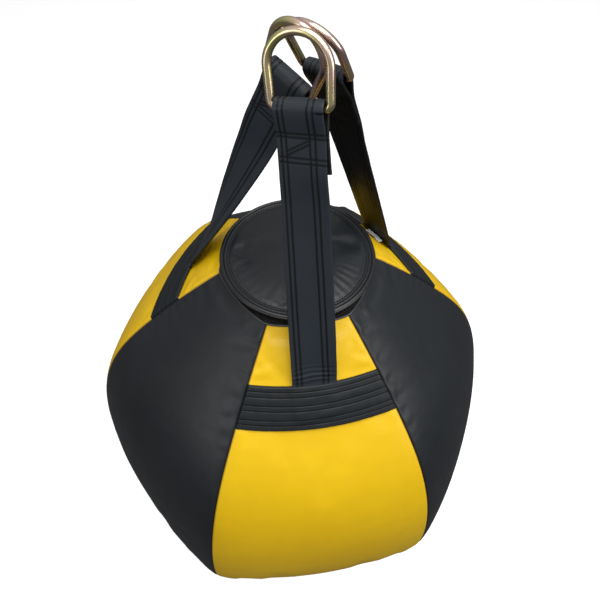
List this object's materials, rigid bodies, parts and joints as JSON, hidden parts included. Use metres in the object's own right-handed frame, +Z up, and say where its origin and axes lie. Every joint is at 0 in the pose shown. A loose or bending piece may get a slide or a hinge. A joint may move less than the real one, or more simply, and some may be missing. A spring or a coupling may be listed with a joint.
{
  "type": "heavy punching bag",
  "caption": "Teardrop heavy punching bag in alternating vinyl gores, with a zipped round lid and webbing straps that end in steel D-rings for hanging.",
  "frame": {"origin": "centre of the base panel's underside, on the bag's upright axis", "axes": "+Z up along the bag's axis through the neck, -Y towards the front yellow panel and its strap, +X to the right of that panel"},
  "size_m": [0.554, 0.517, 0.8113],
  "materials": {
    "yellow_vinyl": "satin embossed vinyl",
    "black_vinyl": "satin embossed vinyl",
    "lid_vinyl": "soft satin vinyl",
    "strap_vinyl": "stitched satin vinyl",
    "backing_fabric": "woven backing cloth",
    "webbing": "woven webbing",
    "ring_steel": "yellow zinc-plated steel",
    "binding": "satin vinyl binding",
    "zip_tape": "woven tape",
    "zip_teeth": "moulded coil",
    "zip_metal": "black painted zinc",
    "foam": "closed-cell foam",
    "textile_fill": "packed textile cuttings",
    "label": "plain white woven label"
  },
  "bodies": {
    "bag": {"yellow_panel_front": "yellow_vinyl", "yellow_panel_right": "yellow_vinyl", "yellow_panel_left": "yellow_vinyl", "black_panel_front_right": "black_vinyl", "black_panel_back": "black_vinyl", "black_panel_front_left": "black_vinyl", "base_panel": "black_vinyl", "anchor_band_front": "strap_vinyl", "anchor_band_right": "strap_vinyl", "anchor_band_left": "strap_vinyl", "anchor_patch_front": "backing_fabric", "anchor_patch_right": "backing_fabric", "anchor_patch_left": "backing_fabric", "strap_tail_front": "strap_vinyl", "strap_tail_right": "strap_vinyl", "strap_tail_left": "strap_vinyl", "neck_binding": "binding", "zip_tape_lower": "zip_tape", "zip_teeth_lower": "zip_teeth", "lid_hinge_tape": "zip_tape", "foam_liner": "foam", "filler_core": "textile_fill", "blank_label": "label"},
    "front_strap": {"strap_front": "strap_vinyl", "strap_webbing_front": "webbing", "strap_loop_front": "strap_vinyl"},
    "front_ring": {"d_ring_front": "ring_steel"},
    "right_strap": {"strap_right": "strap_vinyl", "strap_webbing_right": "webbing", "strap_loop_right": "strap_vinyl"},
    "right_ring": {"d_ring_right": "ring_steel"},
    "left_strap": {"strap_left": "strap_vinyl", "strap_webbing_left": "webbing", "strap_loop_left": "strap_vinyl"},
    "left_ring": {"d_ring_left": "ring_steel"},
    "lid": {"lid_panel": "lid_vinyl", "lid_rim": "binding", "lid_foam": "foam", "zip_tape_upper": "zip_tape", "zip_teeth_upper": "zip_teeth"},
    "slider": {"zip_slider": "zip_metal"},
    "pull_tab": {"zip_pull_tab": "zip_metal"}
  },
  "joints": [
    {"name": "front_strap_swing", "type": "hinge", "parent": "bag", "child": "front_strap", "pos_m": [0, -0.13459, 0.4628], "axis": [1, 0, 0], "range_deg": [0, 120]},
    {"name": "right_strap_swing", "type": "hinge", "parent": "bag", "child": "right_strap", "pos_m": [0.11656, 0.0673, 0.4628], "axis": [-0.5, 0.866, 0], "range_deg": [0, 120]},
    {"name": "left_strap_swing", "type": "hinge", "parent": "bag", "child": "left_strap", "pos_m": [-0.11656, 0.0673, 0.4628], "axis": [-0.5, -0.866, 0], "range_deg": [0, 120]},
    {"name": "front_ring_swing", "type": "hinge", "parent": "front_strap", "child": "front_ring", "pos_m": [-0.0046, -0.0207, 0.7449], "axis": [0.8518, -0.4808, 0.208], "range_deg": [0, 110]},
    {"name": "right_ring_swing", "type": "hinge", "parent": "right_strap", "child": "right_ring", "pos_m": [0.031, 0.0428, 0.7365], "axis": [-0.6641, 0.7341, -0.1419], "range_deg": [0, 110]},
    {"name": "left_ring_swing", "type": "hinge", "parent": "left_strap", "child": "left_ring", "pos_m": [-0.0085, 0.028, 0.7416], "axis": [-0.6408, 0.6858, 0.345], "range_deg": [0, 8]},
    {"name": "lid_open", "type": "hinge", "parent": "bag", "child": "lid", "pos_m": [0, 0.092, 0.5147], "axis": [-1, 0, 0], "range_deg": [0, 16]},
    {"name": "zip_slide", "type": "hinge", "parent": "bag", "child": "slider", "pos_m": [0, 0, 0.5079], "axis": [0, 0, -1], "range_deg": [0, 324]},
    {"name": "pull_tab_lift", "type": "hinge", "parent": "slider", "child": "pull_tab", "pos_m": [0.02911, 0.08959, 0.5081], "axis": [0.9511, -0.309, 0], "range_deg": [0, 95]}
  ]
}
